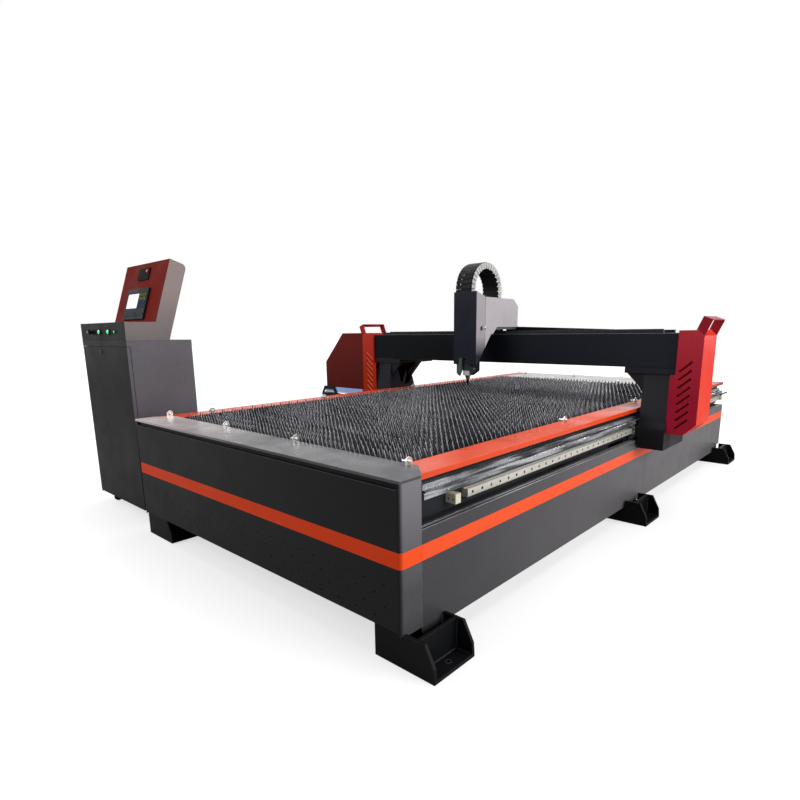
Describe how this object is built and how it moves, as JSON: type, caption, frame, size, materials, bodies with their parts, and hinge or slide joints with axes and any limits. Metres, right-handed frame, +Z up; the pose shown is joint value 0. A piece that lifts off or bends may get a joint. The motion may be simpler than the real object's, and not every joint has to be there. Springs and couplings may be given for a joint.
{
  "type": "cnc plasma cutting machine",
  "caption": "Flatbed plasma cutting table: a gantry rolls on side rails over a bed of toothed slats, with a lifting torch head and a separate control console.",
  "frame": {"origin": "centre of the corner feet's anchor pattern, on the floor", "axes": "+Z up, +Y along the table towards its rear, +X to the right as the operator stands at the front"},
  "size_m": [3.0442, 4.015, 1.48],
  "materials": {
    "dark_frame": "satin",
    "foot_black": "satin",
    "panel_charcoal": "satin",
    "side_grey": "gloss",
    "plate_grey": "satin",
    "ledge_orange": "gloss",
    "zinc": "satin",
    "slat_steel": "rough",
    "rail_steel": "polished",
    "rack_steel": "satin",
    "stop_cream": "satin",
    "tray_steel": "satin",
    "cabinet_grey": "satin",
    "controller_black": "satin",
    "window_black": "gloss",
    "collar_black": "satin",
    "key_black": "satin",
    "button_green": "gloss",
    "beam_dark": "gloss",
    "leg_dark": "satin",
    "cover_red": "gloss",
    "box_maroon": "gloss",
    "blue_film": "gloss",
    "motor_black": "satin",
    "chain_black": "satin",
    "head_grey": "satin",
    "head_dark": "satin",
    "carriage_metal": "satin",
    "torch_metal": "satin",
    "wheel_black": "matte"
  },
  "bodies": {
    "table": {"table_frame": "dark_frame", "feet": "foot_black", "end_cap": "panel_charcoal", "rear_panel": "panel_charcoal", "side_panels": "side_grey", "top_plates": "plate_grey", "ledges": "ledge_orange", "sheet_stops": "zinc", "slats": "slat_steel", "slat_holders": "dark_frame", "slag_sheets": "dark_frame", "y_rails": "rail_steel", "y_racks": "rack_steel", "end_stops": "stop_cream", "y_chain_tray": "tray_steel", "console_cabinet": "cabinet_grey", "console_head": "cabinet_grey", "controller": "controller_black", "display_window": "window_black", "switch_collars": "collar_black", "drive_units": "carriage_metal"},
    "gantry": {"gantry_beam": "beam_dark", "gantry_legs": "leg_dark", "drive_covers": "cover_red", "cover_handles": "cover_red", "cable_box": "box_maroon", "lead_bracket": "blue_film", "y_blocks": "rack_steel", "y_drives": "motor_black", "beam_rails": "rail_steel", "beam_rack": "rack_steel", "x_chain_tray": "tray_steel"},
    "carriage": {"carriage_plate": "carriage_metal", "head_frame": "head_grey", "head_cover": "head_dark", "carriage_guides": "rack_steel", "head_motors": "motor_black", "arch_chain": "chain_black"},
    "torch_lift_unit": {"lift_plate": "carriage_metal", "torch_holder": "head_dark", "torch": "torch_metal"},
    "door": {"console_door": "cabinet_grey"},
    "lock": {"door_lock": "zinc"},
    "key": {"key_switch": "key_black"},
    "start": {"start_button": "button_green"},
    "stop": {"stop_button": "button_green"},
    "gear_left": {"pinion_left": "rack_steel"},
    "gear_right": {"pinion_right": "rack_steel"},
    "gear_x": {"x_pinion": "rack_steel"},
    "lift_screw": {"z_screw": "zinc"},
    "chain_x": {"x_chain": "chain_black"},
    "chain_y": {"y_chain": "chain_black"},
    "fork_1": {"caster_fork_1": "zinc"},
    "wheel_1": {"caster_wheel_1": "wheel_black"},
    "fork_2": {"caster_fork_2": "zinc"},
    "wheel_2": {"caster_wheel_2": "wheel_black"},
    "fork_3": {"caster_fork_3": "zinc"},
    "wheel_3": {"caster_wheel_3": "wheel_black"},
    "fork_4": {"caster_fork_4": "zinc"},
    "wheel_4": {"caster_wheel_4": "wheel_black"}
  },
  "joints": [
    {"name": "gantry_slide", "type": "slide", "parent": "table", "child": "gantry", "axis": [0, 1, 0], "range_m": [-1.5, 1.55]},
    {"name": "carriage_slide", "type": "slide", "parent": "gantry", "child": "carriage", "axis": [1, 0, 0], "range_m": [-0.7, 0.8]},
    {"name": "torch_lift", "type": "slide", "parent": "carriage", "child": "torch_lift_unit", "axis": [0, 0, 1], "range_m": [-0.055, 0.08]},
    {"name": "pinion_left_spin", "type": "hinge", "parent": "gantry", "child": "gear_left", "pos_m": [-1.08, 0.11, 0.5775], "axis": [1, 0, 0], "continuous": true},
    {"name": "pinion_right_spin", "type": "hinge", "parent": "gantry", "child": "gear_right", "pos_m": [1.08, 0.11, 0.5775], "axis": [1, 0, 0], "continuous": true},
    {"name": "x_pinion_spin", "type": "hinge", "parent": "carriage", "child": "gear_x", "pos_m": [-0.064, 0.138, 1.053], "axis": [0, 0, 1], "continuous": true},
    {"name": "z_screw_spin", "type": "hinge", "parent": "carriage", "child": "lift_screw", "pos_m": [-0.017, -0.156, 1.063], "axis": [0, 0, 1], "continuous": true},
    {"name": "x_chain_bend", "type": "slide", "parent": "carriage", "child": "chain_x", "axis": [1, 0, 0], "range_m": [-0.4, 0.35], "deforming": ["x_chain"]},
    {"name": "y_chain_bend", "type": "slide", "parent": "gantry", "child": "chain_y", "axis": [0, 1, 0], "range_m": [-0.775, 0.75], "deforming": ["y_chain"]},
    {"name": "door_hinge", "type": "hinge", "parent": "table", "child": "door", "pos_m": [-1.744, -1.8745, 0.497], "axis": [0, 0, -1], "range_deg": [0, 100]},
    {"name": "lock_turn", "type": "hinge", "parent": "door", "child": "lock", "pos_m": [-1.4615, -1.8785, 0.966], "axis": [0, -1, 0], "range_deg": [0, 90]},
    {"name": "key_turn", "type": "hinge", "parent": "table", "child": "key", "pos_m": [-1.556, -1.8785, 1.077], "axis": [0, 1, 0], "range_deg": [0, 90]},
    {"name": "start_press", "type": "slide", "parent": "table", "child": "start", "axis": [0, 1, 0], "range_m": [0, 0.004], "stiffness_N_per_m": 250},
    {"name": "stop_press", "type": "slide", "parent": "table", "child": "stop", "axis": [0, 1, 0], "range_m": [0, 0.004], "stiffness_N_per_m": 250},
    {"name": "caster_swivel_1", "type": "hinge", "parent": "table", "child": "fork_1", "pos_m": [-1.684, -1.8235, 0.06], "axis": [0, 0, 1], "continuous": true},
    {"name": "caster_roll_1", "type": "hinge", "parent": "fork_1", "child": "wheel_1", "pos_m": [-1.684, -1.8055, 0.025], "axis": [1, 0, 0], "continuous": true},
    {"name": "caster_swivel_2", "type": "hinge", "parent": "table", "child": "fork_2", "pos_m": [-1.149, -1.8235, 0.06], "axis": [0, 0, 1], "continuous": true},
    {"name": "caster_roll_2", "type": "hinge", "parent": "fork_2", "child": "wheel_2", "pos_m": [-1.149, -1.8055, 0.025], "axis": [1, 0, 0], "continuous": true},
    {"name": "caster_swivel_3", "type": "hinge", "parent": "table", "child": "fork_3", "pos_m": [-1.684, -1.5825, 0.06], "axis": [0, 0, 1], "continuous": true},
    {"name": "caster_roll_3", "type": "hinge", "parent": "fork_3", "child": "wheel_3", "pos_m": [-1.684, -1.5645, 0.025], "axis": [1, 0, 0], "continuous": true},
    {"name": "caster_swivel_4", "type": "hinge", "parent": "table", "child": "fork_4", "pos_m": [-1.149, -1.5825, 0.06], "axis": [0, 0, 1], "continuous": true},
    {"name": "caster_roll_4", "type": "hinge", "parent": "fork_4", "child": "wheel_4", "pos_m": [-1.149, -1.5645, 0.025], "axis": [1, 0, 0], "continuous": true}
  ],
  "couplings": [
    {"joint": "pinion_left_spin", "follows": "gantry_slide", "rad_per_m": -57.143},
    {"joint": "pinion_right_spin", "follows": "gantry_slide", "rad_per_m": -57.143},
    {"joint": "x_pinion_spin", "follows": "carriage_slide", "rad_per_m": -50},
    {"joint": "z_screw_spin", "follows": "torch_lift", "rad_per_m": 628.32},
    {"joint": "x_chain_bend", "follows": "carriage_slide", "ratio": -0.5},
    {"joint": "y_chain_bend", "follows": "gantry_slide", "ratio": -0.5}
  ]
}
